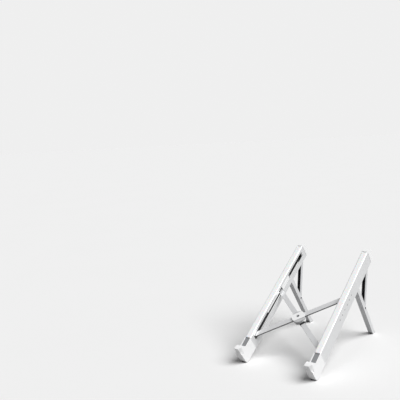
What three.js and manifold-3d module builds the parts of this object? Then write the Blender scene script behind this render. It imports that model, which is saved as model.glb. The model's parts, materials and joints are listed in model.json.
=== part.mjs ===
// Folding laptop stand: two slotted rails joined by a cross of two bars, each rail held up at
// the rear by a hinged leg and strut. Millimetres, +Z up, +Y to the rear, X across.
// Every piece is drawn in the frame of the inclined rails: u runs up along a rail from the
// rear edge of its front cap, n is the height over the rail's top face, and v is the distance
// outward from a rail's centre plane.
import * as THREE from 'three';
import { mergeVertices } from 'three/addons/utils/BufferGeometryUtils.js';
import Module from 'manifold-3d';

const wasm = await Module();
wasm.setup();

// ---- Driving dimensions ----------------------------------------------------------------

const INCLINE = 34;            // slope of the rails, degrees
const RAIL_SPACING = 149;      // between the rails' centre planes
const RAIL_LENGTH = 250;
const RAIL_WIDTH = 12.6;
const RAIL_HEIGHT = 30;
const RAIL_WALL = 0.9;
const RAIL_ROOF = 2.2;         // thickness of the rail's top wall
const RAIL_CORNER = 1.2;
const GAP = 0.3;               // between pieces that touch
const RUN = 0.4;               // between pieces that move past each other

const PAD_MARGIN = 1.7;        // rail left on each side of the grip strip on its top
const PAD_GROOVE = 0.9;
const PAD_PROUD = 0.7;
const PAD_FRONT = 0.3;         // rail left clear at the strip's ends
const PAD_REAR = 3;

const SLOT_ABOVE = 1.2;        // cross bar slot in the inner wall, over the upper bar
const SLOT_BELOW = 2.8;        // and under the lower bar
const SLOT_START = 9.5;
const SLOT_REAR = 11;          // rail left behind the slot

const DETENT_COUNT = 6;        // height holes in the outer wall
const DETENT_PITCH = 12.3;
const DETENT_RADIUS = 1.5;
const DETENT_RISE = 15.8;      // over the rail's lower edges
const DETENT_LEAD = 30.5;      // from the leg's top pivot forward to its detent ball

const CAP_LENGTH = 38.6;       // front cap with its hook
const CAP_PROUD = 0.3;
const CAP_CORNER = 9;
const HOOK_HEIGHT = 12.4;
const HOOK_FOOT = 20;          // from the rail to the foot of the hook
const HOOK_INSET = 3.3;        // recess beside the hook, on the right of both caps
const RECESS_START = 30.5;     // the recess runs forward from here
const RECESS_DEPTH = 5.6;
const RECESS_TOP = 0.6;
const RECESS_SLOPE_RUN = 4.7;
const HOOK_FLAT = 2.4;         // straight part of the hook's flank, behind its front edge
const GUSSET_HEIGHT = 3.4;     // web that widens the hook at its foot
const GUSSET_THICKNESS = 1.6;
const REST_START = 0.3;        // grey rest in the cap's top
const REST_DEPTH = 2;
const REST_THICKNESS = 0.9;
const CAP_FOOT_LENGTH = 8;
const CAP_FOOT_PROUD = 0.8;
const CAP_FOOT_SUNK = 1.3;
const PLUG_DEPTH = 2.2;        // how far the end caps reach into a rail

const BAR_WIDTH = 9.5;
const BAR_THICKNESS = 3;
const BAR_TIP_RADIUS = 3.5;
const BAR_TAPER = 6;
const BAR_A_TOP = 8;           // depth of the upper bar's top face
const BAR_GAP = 1;             // between the two bars
const CROSS_PIVOT_U = 13.3;    // fixed lower pivots of the cross
const HINGE_BLOCK_RISE = 8;    // over the rail's lower edges
const PIVOT_INSET = 2.5;       // from the inside of the inner wall to the cross pivots
const PIVOT_PIN_RADIUS = 1.6;

const HUB_RADIUS = 13;
const HUB_TOP = 5.5;
const HUB_SHOULDER = 7.6;
const HUB_BOSS_WIDTH = 15.5;
const HUB_BOTTOM_HEIGHT = 3.4;
const HUB_SCREW_RADIUS = 2;
const HUB_SCREW_HEAD = 2.6;
const HUB_SCREW_SUNK = 1.6;
const HUB_NUT_RADIUS = 3.6;
const FOLD_GAP = 0.6;          // hub to rail when folded
const STOP_GAP = 1;            // from the hub to the stop band
const STOP_LENGTH = 4.4;
const STOP_PROUD = 0.45;

const CARRIAGE_REAR = 37.5;    // carriage behind its pivot
const CARRIAGE_FRONT = 6;
const CARRIAGE_SLOT_GAP = 0.8; // over the slot's lower edge
const CARRIAGE_END_GAP = 4.7;  // to the slot's end when folded

const GUIDE_START = 71;        // divider strip between carriage and leg slider
const GUIDE_END = 222;
const GUIDE_THICKNESS = 0.5;
const GUIDE_DEPTH = 10;

const LEG_WALL = 0.8;
const LEG_FRONT = 6.4;         // leg's web in front of its pivots
const LEG_REAR = 3;
const LEG_TOP_RISE = 11.5;     // leg's top pivot over the rail's lower edges
const KNEE_DEPTH = 90.3;       // depth of the pin that joins leg and strut
const TONGUE_RADIUS = 4;
const TONGUE_THICKNESS = 1.3;
const SHOULDER_FRONT = 10.5;   // from the top pivot down to the channel, at its web
const SHOULDER_REAR = 14.5;    // and at its open side
const SLIDER_THICKNESS = 1.4;
const SLIDER_HALF_HEIGHT = 3.6;
const RIVET_RADIUS = 1.4;
const BALL_RADIUS = 1.25;
const SOLE = 3.8;              // sole below the leg's web
const SOLE_LIP = 0.8;          // sole below the leg's sides
const SOLE_PLUG = 14;
const SOLE_FRONT = 3;          // sole in front of the strut's place when folded

const STRUT_RUN = 62.1;        // from the knee back to the strut's hinge, along the rail
const STRUT_HINGE_REAR = 9.6;  // from the strut's hinge to the rail's rear end
const STRUT_HINGE_RISE = 8.5;  // over the rail's lower edges
const STRUT_WALL = 0.8;
const STRUT_RADIUS = 3.75;
const PIN_RADIUS = 2;
const BRACKET_WALL = 0.8;
const BRACKET_FRONT = 3.5;
const BRACKET_REAR = 6.6;
const BRACKET_RISE = 4;

const ROUND = 32;              // facets of a full circle

// ---- Sizes that follow -------------------------------------------------------------------

const slope = THREE.MathUtils.degToRad(INCLINE);
const railCentre = RAIL_SPACING / 2;
const half = RAIL_WIDTH / 2;
const cavity = half - RAIL_WALL;
const fill = cavity - GAP;
const slotEnd = RAIL_LENGTH - SLOT_REAR;
const barBTop = BAR_A_TOP + BAR_THICKNESS + BAR_GAP;
const slotTop = BAR_A_TOP - SLOT_ABOVE;
const slotBottom = barBTop + BAR_THICKNESS + SLOT_BELOW;
const carriageBottom = slotBottom - CARRIAGE_SLOT_GAP;
const blockBottom = RAIL_HEIGHT - HINGE_BLOCK_RISE;
const detentDepth = RAIL_HEIGHT - DETENT_RISE;
const legTopDepth = RAIL_HEIGHT - LEG_TOP_RISE;
const strutHingeDepth = RAIL_HEIGHT - STRUT_HINGE_RISE;
const bracketDepth = RAIL_HEIGHT - BRACKET_RISE;
const pinHole = PIVOT_PIN_RADIUS + GAP;
const padWidth = RAIL_WIDTH - 2 * PAD_MARGIN;
const crossPivotV = PIVOT_INSET - cavity;
const carriageOuter = crossPivotV + BAR_TIP_RADIUS + 0.1;
const legWidth = 2 * (cavity - RUN);
const strutWidth = legWidth - 2 * (LEG_WALL + GAP);

// The cross bars are as long as the folded carriages' place in the slots allows.
const crossHalfWidth = railCentre + crossPivotV;
const foldedHalfWidth = HUB_RADIUS + FOLD_GAP + half + crossPivotV;
const foldedPivotU = slotEnd - CARRIAGE_END_GAP - CARRIAGE_REAR;
const barHalf = Math.hypot((foldedPivotU - CROSS_PIVOT_U) / 2, foldedHalfWidth);
const barAngle = Math.asin(crossHalfWidth / barHalf);
const hubU = CROSS_PIVOT_U + barHalf * Math.cos(barAngle);
const upperPivotU = CROSS_PIVOT_U + 2 * barHalf * Math.cos(barAngle);
const hubSkirt = BAR_A_TOP + BAR_THICKNESS + 0.6;
const hubBottomTop = barBTop + BAR_THICKNESS + RUN;

const strutHingeU = RAIL_LENGTH - STRUT_HINGE_REAR;
const legU = strutHingeU - STRUT_RUN;
const strutLength = Math.hypot(STRUT_RUN, KNEE_DEPTH - strutHingeDepth);
const strutAngle = Math.atan2(KNEE_DEPTH - strutHingeDepth, STRUT_RUN);
const sliderInner = fill - SLIDER_THICKNESS;
const tongueInner = sliderInner - GAP - TONGUE_THICKNESS;
const ballU = legU - DETENT_LEAD;

// The front cap stands on the pad at its lower corner, which sets the stand's height.
const capCornerU = -CAP_LENGTH + CAP_CORNER;
const capCornerN = -RAIL_HEIGHT + CAP_CORNER;
const padReach = CAP_CORNER + CAP_FOOT_PROUD;
const baseHeight = padReach - capCornerU * Math.sin(slope) - capCornerN * Math.cos(slope);

function groundAt(u, height = 0) {
  return (height - baseHeight - u * Math.sin(slope)) / Math.cos(slope);
}

// ---- Solids ------------------------------------------------------------------------------

function solidOf(geometry) {
  const bare = geometry.clone();
  bare.deleteAttribute('normal');
  bare.deleteAttribute('uv');
  const merged = mergeVertices(bare, 1e-4);
  return new wasm.Manifold(new wasm.Mesh({
    numProp: 3,
    vertProperties: new Float32Array(merged.attributes.position.array),
    triVerts: new Uint32Array(merged.index.array),
  }));
}

function geometryOf(solid) {
  const mesh = solid.getMesh();
  const geometry = new THREE.BufferGeometry();
  geometry.setAttribute('position', new THREE.BufferAttribute(mesh.vertProperties.slice(), 3));
  geometry.setIndex(new THREE.BufferAttribute(mesh.triVerts.slice(), 1));
  geometry.computeVertexNormals();
  return geometry;
}

function join(...solids) {
  return solids.reduce((whole, solid) => whole.add(solid));
}

function cut(solid, ...tools) {
  return tools.reduce((whole, tool) => whole.subtract(tool), solid);
}

// A block from its limits across, along and over the rail.
function block([x0, x1], [u0, u1], [n0, n1]) {
  const geometry = new THREE.BoxGeometry(x1 - x0, u1 - u0, n1 - n0);
  geometry.translate((x0 + x1) / 2, (u0 + u1) / 2, (n0 + n1) / 2);
  return solidOf(geometry);
}

function extruded(shape, depth, curveSegments = 8) {
  return new THREE.ExtrudeGeometry(shape, { depth, bevelEnabled: false, curveSegments });
}

// An outline in (u, n), drawn across the rail from x0 to x1.
function across(shape, x0, x1, curveSegments) {
  const geometry = extruded(shape, x1 - x0, curveSegments);
  geometry.applyMatrix4(new THREE.Matrix4().makeBasis(
    new THREE.Vector3(0, 1, 0), new THREE.Vector3(0, 0, 1), new THREE.Vector3(1, 0, 0)));
  geometry.translate(x0, 0, 0);
  return solidOf(geometry);
}

// An outline in (x, n), drawn along the rail from u0 to u1.
function along(shape, u0, u1, curveSegments) {
  const geometry = extruded(shape, u1 - u0, curveSegments);
  geometry.rotateX(Math.PI / 2);
  geometry.translate(0, u1, 0);
  return solidOf(geometry);
}

// An outline in (x, u), drawn upwards from n0 to n1.
function upwards(shape, n0, n1, curveSegments) {
  const geometry = extruded(shape, n1 - n0, curveSegments);
  geometry.translate(0, 0, n0);
  return solidOf(geometry);
}

function outline(points) {
  return new THREE.Shape(points.map(([a, b]) => new THREE.Vector2(a, b)));
}

function rodAcross(radius, [x0, x1], u, n, facets = ROUND) {
  const geometry = new THREE.CylinderGeometry(radius, radius, x1 - x0, facets);
  geometry.rotateZ(Math.PI / 2);
  geometry.translate((x0 + x1) / 2, u, n);
  return solidOf(geometry);
}

function rodUpwards(radius, [n0, n1], x, u, facets = ROUND) {
  const geometry = new THREE.CylinderGeometry(radius, radius, n1 - n0, facets);
  geometry.rotateX(Math.PI / 2);
  geometry.translate(x, u, (n0 + n1) / 2);
  return solidOf(geometry);
}

// A long shape with a round end about each of two points.
function stadium(a, b, radius) {
  const angle = Math.atan2(b[1] - a[1], b[0] - a[0]);
  const shape = new THREE.Shape();
  shape.absarc(a[0], a[1], radius, angle + Math.PI / 2, angle + 3 * Math.PI / 2, false);
  shape.absarc(b[0], b[1], radius, angle - Math.PI / 2, angle + Math.PI / 2, false);
  return shape;
}

// ---- Rail and what is fixed to it ----------------------------------------------------------

function railSolid() {
  const groove = padWidth / 2 + GAP;
  const r = RAIL_CORNER;
  const section = new THREE.Shape();
  section.moveTo(-half, -RAIL_HEIGHT);
  section.lineTo(-cavity, -RAIL_HEIGHT);
  section.lineTo(-cavity, -RAIL_ROOF);
  section.lineTo(cavity, -RAIL_ROOF);
  section.lineTo(cavity, -RAIL_HEIGHT);
  section.lineTo(half, -RAIL_HEIGHT);
  section.absarc(half - r, -r, r, 0, Math.PI / 2, false);
  section.lineTo(groove, 0);
  section.lineTo(groove, -PAD_GROOVE);
  section.lineTo(-groove, -PAD_GROOVE);
  section.lineTo(-groove, 0);
  section.absarc(r - half, -r, r, Math.PI / 2, Math.PI, false);
  const slot = block([-half - 1, -cavity + 1], [SLOT_START, slotEnd], [-slotBottom, -slotTop]);
  const holes = [];
  for (let i = 0; i < DETENT_COUNT; i += 1) {
    const u = ballU - i * DETENT_PITCH;
    holes.push(rodAcross(DETENT_RADIUS, [cavity - 1, half + 1], u, -detentDepth, 20));
  }
  return cut(along(section, 0, RAIL_LENGTH, 5), slot, ...holes);
}

function railPadSolid() {
  return block([-padWidth / 2, padWidth / 2], [PAD_FRONT, RAIL_LENGTH - PAD_REAR],
    [GAP - PAD_GROOVE, PAD_PROUD]);
}

// Side view of the front cap: flat top, hook with a blunt nose, rounded lower corner.
function frontCapOutline() {
  const front = -CAP_LENGTH;
  const shape = new THREE.Shape();
  shape.moveTo(-GAP, 0);
  shape.lineTo(-GAP, -RAIL_HEIGHT);
  shape.lineTo(capCornerU, -RAIL_HEIGHT);
  shape.absarc(capCornerU, capCornerN, CAP_CORNER, -Math.PI / 2, -Math.PI, true);
  shape.lineTo(front, -2.4);
  shape.quadraticCurveTo(front + 0.2, 0.6, front + 1.4, 2.4);
  shape.quadraticCurveTo(front + 2.4, 4.4, front + 2.2, 6.8);
  shape.quadraticCurveTo(front + 1.9, 9, front + 1.7, HOOK_HEIGHT - 1);
  shape.quadraticCurveTo(front + 1.8, HOOK_HEIGHT, front + 2.8, HOOK_HEIGHT);
  shape.quadraticCurveTo(-HOOK_FOOT - 8, HOOK_HEIGHT - 0.6, -HOOK_FOOT - 4.4, 7.6);
  shape.quadraticCurveTo(-HOOK_FOOT - 2.2, 0.6, -HOOK_FOOT, 0);
  return shape;
}

// Room beside the hook, open to the front and to one side, with a slope as its back.
// The hook's flank flares from its front edge out to the cap's full width.
function hookRecess(side) {
  const lowest = -RECESS_DEPTH;
  const front = -CAP_LENGTH;
  const beyond = front - 6;
  const inner = side - HOOK_INSET;
  const slopeEnd = -RECESS_START - RECESS_SLOPE_RUN;
  const room = outline([
    [-RECESS_START, HOOK_HEIGHT + 1], [-RECESS_START, RECESS_TOP], [slopeEnd, lowest],
    [beyond, lowest + 3], [beyond, HOOK_HEIGHT + 1]]);
  const flank = upwards(outline([
    [inner, beyond], [side + 2, beyond], [side + 2, -RECESS_START], [side, -RECESS_START],
    [inner, front + HOOK_FLAT]]), -RAIL_HEIGHT, HOOK_HEIGHT + 2);
  const gusset = outline([
    [inner - 0.5, GUSSET_HEIGHT], [inner, GUSSET_HEIGHT], [side + 2, lowest + 1.4],
    [side + 2, lowest - 4], [inner - 0.5, lowest - 4]]);
  const open = across(room, inner, side + 1).intersect(flank);
  return cut(open, along(gusset, front - 1, front + GUSSET_THICKNESS));
}

// The pad's slab is square to the ground and centred on the cap's lower corner.
function footSlab(width, length, inner, outer) {
  const geometry = new THREE.BoxGeometry(2 * width, length, outer - inner);
  geometry.translate(0, 0, -(inner + outer) / 2);
  geometry.rotateX(-slope);
  geometry.translate(0, capCornerU, capCornerN);
  return solidOf(geometry);
}

function frontCapSolid(mirrored) {
  const side = half + CAP_PROUD;
  const restHalf = padWidth / 2 + GAP;
  const body = across(frontCapOutline(), -side, side, 6);
  const recess = mirrored ? hookRecess(side).mirror([1, 0, 0]) : hookRecess(side);
  const plug = block([-fill, fill], [-1, PLUG_DEPTH], [GAP - RAIL_HEIGHT, -RAIL_ROOF - GAP]);
  const rest = block([-restHalf, restHalf], [-HOOK_FOOT, -REST_START], [-REST_DEPTH, 2]);
  const footRecess = footSlab(padWidth / 2 + GAP, CAP_FOOT_LENGTH + 2 * GAP,
    CAP_CORNER - CAP_FOOT_SUNK, CAP_CORNER + 9);
  return cut(join(body, plug), rest, footRecess, recess);
}

function frontRestSolid() {
  const floor = -REST_DEPTH + GAP;
  return block([-padWidth / 2, padWidth / 2], [GAP - HOOK_FOOT, -REST_START - GAP],
    [floor, floor + REST_THICKNESS]);
}

function frontFootSolid() {
  return footSlab(padWidth / 2, CAP_FOOT_LENGTH, CAP_CORNER - CAP_FOOT_SUNK + GAP, padReach);
}

function rearCapSolid() {
  const side = half + CAP_PROUD;
  const shape = new THREE.Shape();
  const u = RAIL_LENGTH + GAP;
  shape.moveTo(u, -RAIL_HEIGHT);
  shape.absarc(u, -RAIL_HEIGHT / 2, RAIL_HEIGHT / 2, -Math.PI / 2, Math.PI / 2, false);
  const plug = block([-fill, fill], [RAIL_LENGTH - PLUG_DEPTH, u + 1],
    [GAP - RAIL_HEIGHT, -RAIL_ROOF - GAP]);
  return join(across(shape, -side, side, 18), plug);
}

// A fork with a gap for a bar's tip, open towards the middle of the stand.
function fork([v0, v1], [u0, u1], [n0, n1], barTop, gapStart, gapEnd) {
  const body = block([v0, v1], [u0, u1], [n0, n1]);
  const gap = block([v0 - 1, v1 + 1], [gapStart, gapEnd], [-barTop - BAR_THICKNESS - RUN, RUN - barTop]);
  return cut(body, gap);
}

function hingeBlockSolid(barTop) {
  const gapStart = CROSS_PIVOT_U - BAR_TIP_RADIUS - RUN - 0.4;
  const body = fork([-fill, fill], [PLUG_DEPTH + GAP, CROSS_PIVOT_U + 8.7],
    [-blockBottom, -RAIL_ROOF - GAP], barTop, gapStart, CROSS_PIVOT_U + 20);
  return cut(body, rodUpwards(pinHole, [-blockBottom - 1, 0], crossPivotV, CROSS_PIVOT_U, 20));
}

function hingePinSolid() {
  return rodUpwards(PIVOT_PIN_RADIUS, [0.6 - blockBottom, -3.2], crossPivotV, CROSS_PIVOT_U, 20);
}

function carriageSolid(barTop) {
  const gapEnd = upperPivotU + BAR_TIP_RADIUS + RUN;
  const rear = upperPivotU + CARRIAGE_REAR;
  const bossStart = upperPivotU + BAR_TIP_RADIUS + 3 * RUN;
  const body = fork([-fill, carriageOuter], [upperPivotU - CARRIAGE_FRONT, rear],
    [-carriageBottom, -RAIL_ROOF - 1], barTop, upperPivotU - 20, gapEnd);
  const boss = block([-half + 0.4, -fill + 1], [bossStart, rear], [-carriageBottom, -slotTop - GAP]);
  return cut(join(body, boss), rodUpwards(pinHole, [-carriageBottom - 1, 0], crossPivotV, upperPivotU, 20));
}

function carriagePinSolid() {
  return rodUpwards(PIVOT_PIN_RADIUS, [0.4 - carriageBottom, -3.8], crossPivotV, upperPivotU, 20);
}

// A thin divider that keeps the cross carriage and the leg's slider apart.
function guideSolid() {
  const web = [carriageOuter + 0.2, carriageOuter + 0.2 + GUIDE_THICKNESS];
  const flangeBottom = -RAIL_ROOF - GAP - 0.4;
  return join(
    block(web, [GUIDE_START, GUIDE_END], [-GUIDE_DEPTH, -RAIL_ROOF - GAP]),
    block([-fill + 1, web[1]], [GUIDE_START, GUIDE_END], [flangeBottom, -RAIL_ROOF - GAP]));
}

function strutBracketSolid() {
  const u = [strutHingeU - BRACKET_FRONT, strutHingeU + BRACKET_REAR];
  const roof = -RAIL_ROOF - GAP;
  const outer = block([-fill, fill], u, [-bracketDepth, roof]);
  const inner = block([BRACKET_WALL - fill, fill - BRACKET_WALL], [u[0] - 1, u[1] + 1],
    [-bracketDepth - 1, roof - 1.4]);
  return cut(outer, inner,
    rodAcross(PIN_RADIUS + GAP, [-fill - 1, fill + 1], strutHingeU, -strutHingeDepth));
}

function strutPinSolid() {
  return rodAcross(PIN_RADIUS, [-fill, fill], strutHingeU, -strutHingeDepth);
}

// ---- Leg, strut and slider -----------------------------------------------------------------

function strutSolid() {
  const hinge = [strutHingeU, -strutHingeDepth];
  const knee = [legU, -KNEE_DEPTH];
  const w = strutWidth / 2;
  const body = across(stadium(hinge, knee, STRUT_RADIUS), -w, w, 12);
  // The channel is hollowed from its upper front side, with the web left behind.
  const hollow = new THREE.BoxGeometry(2 * (w - STRUT_WALL), 2 * strutLength, 20);
  hollow.translate(0, 0, 10 - STRUT_RADIUS + STRUT_WALL);
  hollow.rotateX(strutAngle);
  hollow.translate(0, (hinge[0] + knee[0]) / 2, (hinge[1] + knee[1]) / 2);
  const reach = [-w - 1, w + 1];
  return cut(body, solidOf(hollow),
    rodAcross(PIN_RADIUS + GAP, reach, ...hinge), rodAcross(PIN_RADIUS + GAP, reach, ...knee));
}

function legPinSolid() {
  return rodAcross(PIN_RADIUS, [-legWidth / 2 - 0.1, legWidth / 2 + 0.1], legU, -KNEE_DEPTH);
}

function legSolid() {
  const w = legWidth / 2;
  const front = legU - LEG_FRONT;
  const rear = legU + LEG_REAR;
  const side = outline([
    [front, -legTopDepth - SHOULDER_FRONT], [front, groundAt(front, SOLE_LIP)],
    [rear, groundAt(rear, SOLE_LIP)], [rear, -legTopDepth - SHOULDER_REAR]]);
  const soleWindow = outline([
    [front - 1, groundAt(front - 1, SOLE)], [front - 1, -400],
    [front + 2, -400], [front + 2, groundAt(front + 2, SOLE)]]);
  const channel = cut(across(side, -w, w),
    block([LEG_WALL - w, w - LEG_WALL], [front + LEG_WALL, rear + 5], [-400, 0]),
    across(soleWindow, LEG_WALL - w, w - LEG_WALL));
  const shoulder = -legTopDepth - SHOULDER_REAR;
  const tongue = across(stadium([legU, -legTopDepth], [legU, shoulder - 12], TONGUE_RADIUS),
    tongueInner, tongueInner + TONGUE_THICKNESS, 12);
  const joggle = block([tongueInner, w - LEG_WALL / 2],
    [front + LEG_WALL / 2, rear], [shoulder - 12, shoulder]);
  return cut(join(channel, tongue, joggle),
    rodAcross(RIVET_RADIUS + GAP, [0, w + 1], legU, -legTopDepth, 20),
    rodAcross(PIN_RADIUS + GAP, [-w - 1, w + 1], legU, -KNEE_DEPTH));
}

function footSolid() {
  const w = legWidth / 2;
  const front = legU - LEG_FRONT;
  const rear = legU + LEG_REAR;
  const lip = outline([
    [front, groundAt(front, SOLE_LIP - GAP)], [front, groundAt(front)],
    [rear, groundAt(rear)], [rear, groundAt(rear, SOLE_LIP - GAP)]]);
  const sole = outline([
    [front, groundAt(front, SOLE - GAP)], [front, groundAt(front, SOLE_LIP / 4)],
    [rear, groundAt(rear, SOLE_LIP / 4)], [rear, groundAt(rear, SOLE - GAP)]]);
  const inner = w - LEG_WALL - GAP;
  const plugFront = front + LEG_WALL + GAP;
  const plug = outline([
    [plugFront, groundAt(plugFront, SOLE_PLUG)], [plugFront, groundAt(plugFront, SOLE / 2)],
    [rear, groundAt(rear, SOLE / 2)], [rear, groundAt(rear, SOLE_PLUG)]]);
  // The folded strut lies in a channel down the back of the foot.
  const strutPlace = strutWidth / 2 + RUN;
  return cut(join(across(lip, -w, w), across(sole, -inner, inner), across(plug, -inner, inner)),
    block([-strutPlace, strutPlace], [front + SOLE_FRONT, rear + 5], [-400, 0]));
}

// The plate that slides in the rail's outer half and carries the detent ball.
function sliderSolid() {
  const n = -legTopDepth;
  const h = SLIDER_HALF_HEIGHT;
  const faces = [sliderInner, sliderInner + SLIDER_THICKNESS];
  const front = ballU - 3.5;
  const strap = block(faces, [front, legU + 7], [n - h, n + h]);
  const ear = across(stadium([ballU, n], [ballU, -detentDepth], BALL_RADIUS + 0.9), ...faces, 8);
  return cut(join(strap, ear),
    rodAcross(RIVET_RADIUS + GAP, [0, half], legU, n, 20),
    rodAcross(BALL_RADIUS + GAP, [0, half], ballU, -detentDepth, 20));
}

function sliderRivetSolid() {
  const shank = rodAcross(RIVET_RADIUS, [tongueInner - 0.5, fill], legU, -legTopDepth, 20);
  const head = rodAcross(2.3, [tongueInner - 0.7, tongueInner - GAP], legU, -legTopDepth, 20);
  return join(shank, head);
}

function detentBallSolid() {
  const geometry = new THREE.SphereGeometry(BALL_RADIUS, 20, 12);
  geometry.translate(fill - BALL_RADIUS + 0.1, ballU, -detentDepth);
  return solidOf(geometry);
}

// ---- Cross bars and hub ----------------------------------------------------------------------

// A bar lying along the local x axis, its middle on the origin.
function barSolid(top) {
  const w = BAR_WIDTH / 2;
  const r = BAR_TIP_RADIUS;
  const neck = barHalf - BAR_TAPER;
  const shape = new THREE.Shape();
  shape.moveTo(-neck, -w);
  shape.lineTo(neck, -w);
  shape.absarc(barHalf, 0, r, -Math.PI / 2, Math.PI / 2, false);
  shape.lineTo(neck, w);
  shape.lineTo(-neck, w);
  shape.absarc(-barHalf, 0, r, Math.PI / 2, 3 * Math.PI / 2, false);
  const range = [-top - BAR_THICKNESS - 1, 1 - top];
  return cut(upwards(shape, -top - BAR_THICKNESS, -top, 10),
    rodUpwards(pinHole, range, -barHalf, 0, 20),
    rodUpwards(pinHole, range, barHalf, 0, 20),
    rodUpwards(HUB_SCREW_RADIUS + GAP, range, 0, 0, 24));
}

// Round housing with a raised boss over the upper bar, which lies in a channel in it.
function hubTopSolid() {
  const disc = rodUpwards(HUB_RADIUS, [-hubSkirt, -HUB_SHOULDER], 0, 0, 48);
  const boss = cut(rodUpwards(HUB_RADIUS, [-HUB_SHOULDER - 1, -HUB_TOP], 0, 0, 48),
    block([-20, 20], [HUB_BOSS_WIDTH / 2, 20], [-20, 0]),
    block([-20, 20], [-20, -HUB_BOSS_WIDTH / 2], [-20, 0]));
  const channel = block([-20, 20], [-BAR_WIDTH / 2 - GAP, BAR_WIDTH / 2 + GAP],
    [-20, GAP - BAR_A_TOP]);
  return cut(join(disc, boss), channel,
    rodUpwards(HUB_SCREW_RADIUS + GAP, [-20, 0], 0, 0, 24),
    rodUpwards(HUB_SCREW_HEAD + GAP, [-HUB_TOP - HUB_SCREW_SUNK, 0], 0, 0, 32));
}

function hubBottomSolid() {
  const body = rodUpwards(HUB_RADIUS - 0.6, [-hubBottomTop - HUB_BOTTOM_HEIGHT, -hubBottomTop], 0, 0, 48);
  return cut(body,
    rodUpwards(HUB_SCREW_RADIUS + GAP, [-30, 0], 0, 0, 24),
    rodUpwards(HUB_NUT_RADIUS + 2 * GAP, [-30, -hubBottomTop - 1.4], 0, 0, 32));
}

function hubWasherSolid() {
  const bottom = -barBTop + 0.25;
  const range = [bottom, -BAR_A_TOP - BAR_THICKNESS - 0.25];
  return cut(rodUpwards(HUB_SCREW_RADIUS + 2.4, range, 0, 0, 24),
    rodUpwards(HUB_SCREW_RADIUS + GAP, [-30, 0], 0, 0, 24));
}

function hubScrewSolid() {
  const seat = GAP - HUB_TOP - HUB_SCREW_SUNK;
  const head = rodUpwards(HUB_SCREW_HEAD, [seat, -HUB_TOP - GAP], 0, 0, 32);
  const shank = rodUpwards(HUB_SCREW_RADIUS, [-hubBottomTop - HUB_BOTTOM_HEIGHT, seat + 0.1], 0, 0, 24);
  const drive = rodUpwards(1.3, [seat + 0.4, -HUB_TOP], 0, 0, 6);
  return cut(join(head, shank), drive);
}

function hubNutSolid() {
  const range = [-hubBottomTop - HUB_BOTTOM_HEIGHT + 0.1, -hubBottomTop - 1.4 - GAP];
  return cut(rodUpwards(HUB_NUT_RADIUS, range, 0, 0, 6),
    rodUpwards(HUB_SCREW_RADIUS + GAP, [-30, 0], 0, 0, 24));
}

// A rubber sleeve over the lower bar, beside the hub.
function stopBandSolid() {
  const w = BAR_WIDTH / 2;
  const start = HUB_RADIUS + STOP_GAP;
  const u = [start, start + STOP_LENGTH];
  const outer = block(u, [-w - STOP_PROUD - GAP, w + STOP_PROUD + GAP],
    [-barBTop - BAR_THICKNESS - GAP - STOP_PROUD, GAP + STOP_PROUD - barBTop]);
  const inner = block([u[0] - 1, u[1] + 1], [-w - GAP, w + GAP],
    [-barBTop - BAR_THICKNESS - GAP, GAP - barBTop]);
  return cut(outer, inner);
}

// ---- Materials -------------------------------------------------------------------------------

const finishes = {
  rail: { color: 0xe6e8ea, roughness: 0.38, metalness: 0.6 },
  plastic: { color: 0xf0f1f2, roughness: 0.45, metalness: 0 },
  dark_plastic: { color: 0x3a3b3d, roughness: 0.6, metalness: 0 },
  silicone: { color: 0xf4f5f5, roughness: 0.7, metalness: 0 },
  grey_silicone: { color: 0x8e9194, roughness: 0.75, metalness: 0 },
  sole_rubber: { color: 0x55585b, roughness: 0.85, metalness: 0 },
  black_rubber: { color: 0x141516, roughness: 0.8, metalness: 0 },
  bar_metal: { color: 0xd4d6d8, roughness: 0.42, metalness: 0.6 },
  steel: { color: 0x9a9da0, roughness: 0.3, metalness: 0.9 },
};

function named(name, solid, finish, mirrored = false) {
  const geometry = geometryOf(solid);
  if (mirrored) {
    geometry.scale(-1, 1, 1);
    const index = geometry.index.array;
    for (let i = 0; i < index.length; i += 3) {
      [index[i], index[i + 1]] = [index[i + 1], index[i]];
    }
    geometry.computeVertexNormals();
  }
  const mesh = new THREE.Mesh(geometry, new THREE.MeshStandardMaterial(finishes[finish]));
  mesh.name = name;
  return mesh;
}

// ---- Assembly --------------------------------------------------------------------------------

const stand = new THREE.Group();
stand.rotation.x = slope;

// Each side holds the same pieces; only the depth of the cross bar's tips differs.
function addSide(side, mirrored, lowerBarTop, upperBarTop) {
  const group = new THREE.Group();
  group.position.x = mirrored ? -railCentre : railCentre;
  const pieces = [
    ['rail', railSolid(), 'rail'],
    ['rail_pad', railPadSolid(), 'silicone'],
    ['front_cap', frontCapSolid(mirrored), 'plastic'],
    ['front_rest', frontRestSolid(), 'grey_silicone'],
    ['front_foot', frontFootSolid(), 'grey_silicone'],
    ['rear_cap', rearCapSolid(), 'plastic'],
    ['hinge_block', hingeBlockSolid(lowerBarTop), 'dark_plastic'],
    ['hinge_pin', hingePinSolid(), 'steel'],
    ['carriage', carriageSolid(upperBarTop), 'plastic'],
    ['carriage_pin', carriagePinSolid(), 'steel'],
    ['guide_strip', guideSolid(), 'plastic'],
    ['strut_bracket', strutBracketSolid(), 'bar_metal'],
    ['strut_pin', strutPinSolid(), 'steel'],
    ['strut', strutSolid(), 'bar_metal'],
    ['leg_pin', legPinSolid(), 'steel'],
    ['leg', legSolid(), 'rail'],
    ['leg_foot', footSolid(), 'sole_rubber'],
    ['leg_slider', sliderSolid(), 'bar_metal'],
    ['slider_rivet', sliderRivetSolid(), 'steel'],
    ['detent_ball', detentBallSolid(), 'steel'],
  ];
  for (const [name, solid, finish] of pieces) {
    group.add(named(`${side}_${name}`, solid, finish, mirrored));
  }
  stand.add(group);
}

function addOnBar(angle, pieces) {
  const group = new THREE.Group();
  group.position.y = hubU;
  group.rotation.z = angle;
  for (const [name, solid, finish] of pieces) {
    group.add(named(name, solid, finish));
  }
  stand.add(group);
}

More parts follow.
